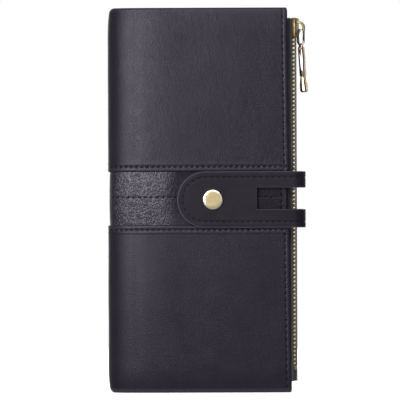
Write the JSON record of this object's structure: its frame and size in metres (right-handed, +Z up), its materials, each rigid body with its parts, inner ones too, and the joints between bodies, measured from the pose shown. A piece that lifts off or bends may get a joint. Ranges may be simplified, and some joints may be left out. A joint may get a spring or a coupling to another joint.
{
  "type": "long wallet",
  "caption": "Tall leather wallet with a pebbled middle band, a snap strap that wraps round the open edge, card slots and a zipped pocket between its covers.",
  "frame": {"origin": "middle of the box around the closed wallet, at the bottom edge that it stands on", "axes": "+Z up along the spine, +X from the spine to the open edge, +Y from the front cover to the back cover"},
  "size_m": [0.1014, 0.0288, 0.195],
  "materials": {
    "smooth_leather": "smooth, satin",
    "pebbled_leather": "pebbled, satin",
    "strap_leather": "smooth, satin, burnished edge",
    "lining_cloth": "woven",
    "board": "matte",
    "tape_cloth": "woven",
    "brass": "antique",
    "gold": "satin, polished rim",
    "nickel": "polished"
  },
  "bodies": {
    "back_cover": {"back_upper_panel": "smooth_leather", "back_lower_panel": "smooth_leather", "back_band": "pebbled_leather", "back_upper_board": "board", "back_lower_board": "board", "back_lining": "lining_cloth", "bill_divider": "lining_cloth", "bill_top_gusset": "lining_cloth", "bill_bottom_gusset": "lining_cloth", "pocket_front_wall": "smooth_leather", "pocket_back_wall": "smooth_leather", "pocket_fold": "smooth_leather", "pocket_top_gusset": "lining_cloth", "pocket_bottom_gusset": "lining_cloth", "zip_tape_front": "tape_cloth", "zip_tape_back": "tape_cloth", "zip_teeth_front": "brass", "zip_teeth_back": "brass", "zip_top_stop_front": "brass", "zip_top_stop_back": "brass", "zip_bottom_stop": "brass", "strap_base": "strap_leather"},
    "spine": {"spine_upper_panel": "smooth_leather", "spine_band": "pebbled_leather", "spine_lower_panel": "smooth_leather", "spine_lining": "lining_cloth"},
    "front_cover": {"front_upper_panel": "smooth_leather", "front_lower_panel": "smooth_leather", "front_band": "pebbled_leather", "front_upper_board": "board", "front_lower_board": "board", "front_lining": "lining_cloth", "card_slot_1": "smooth_leather", "card_slot_2": "smooth_leather", "card_slot_3": "smooth_leather", "card_slot_4": "smooth_leather", "snap_stud": "brass"},
    "strap_edge": {"strap_upper_prong": "strap_leather", "strap_lower_prong": "strap_leather"},
    "strap_tab": {"strap_face": "strap_leather", "strap_backing": "strap_leather", "snap_cap": "gold", "snap_socket": "brass"},
    "zip_slider": {"slider_body": "brass"},
    "link": {"pull_link": "nickel"},
    "pull": {"pull_tab": "nickel", "pull_rivet": "brass"}
  },
  "joints": [
    {"name": "spine_back_fold", "type": "hinge", "parent": "back_cover", "child": "spine", "pos_m": [-0.04465, 0.00861, 0], "axis": [0, 0, -1], "range_deg": [0, 90]},
    {"name": "spine_front_fold", "type": "hinge", "parent": "spine", "child": "front_cover", "pos_m": [-0.04465, -0.00711, 0], "axis": [0, 0, -1], "range_deg": [0, 90]},
    {"name": "strap_back_fold", "type": "hinge", "parent": "back_cover", "child": "strap_edge", "pos_m": [0.04355, 0.0144, 0], "axis": [0, 0, 1], "range_deg": [0, 90]},
    {"name": "strap_front_fold", "type": "hinge", "parent": "strap_edge", "child": "strap_tab", "pos_m": [0.04355, -0.0129, 0], "axis": [0, 0, 1], "range_deg": [0, 90]},
    {"name": "zip_slide", "type": "slide", "parent": "back_cover", "child": "zip_slider", "axis": [0, 0, 1], "range_m": [-0.15, 0], "deforming": ["zip_teeth_front", "zip_teeth_back", "zip_tape_front", "zip_tape_back", "strap_upper_prong", "strap_lower_prong"]},
    {"name": "link_swing", "type": "hinge", "parent": "zip_slider", "child": "link", "pos_m": [0.04749, -0.00069, 0.1833], "axis": [-0.342, -0.9397, 0], "range_deg": [0, 120]},
    {"name": "pull_swing", "type": "hinge", "parent": "link", "child": "pull", "pos_m": [0.04749, -0.00069, 0.1774], "axis": [-0.342, -0.9397, 0], "range_deg": [-4, 95]}
  ],
  "couplings": [
    {"joint": "spine_front_fold", "follows": "spine_back_fold", "ratio": 1},
    {"joint": "strap_front_fold", "follows": "strap_back_fold", "ratio": 1}
  ]
}
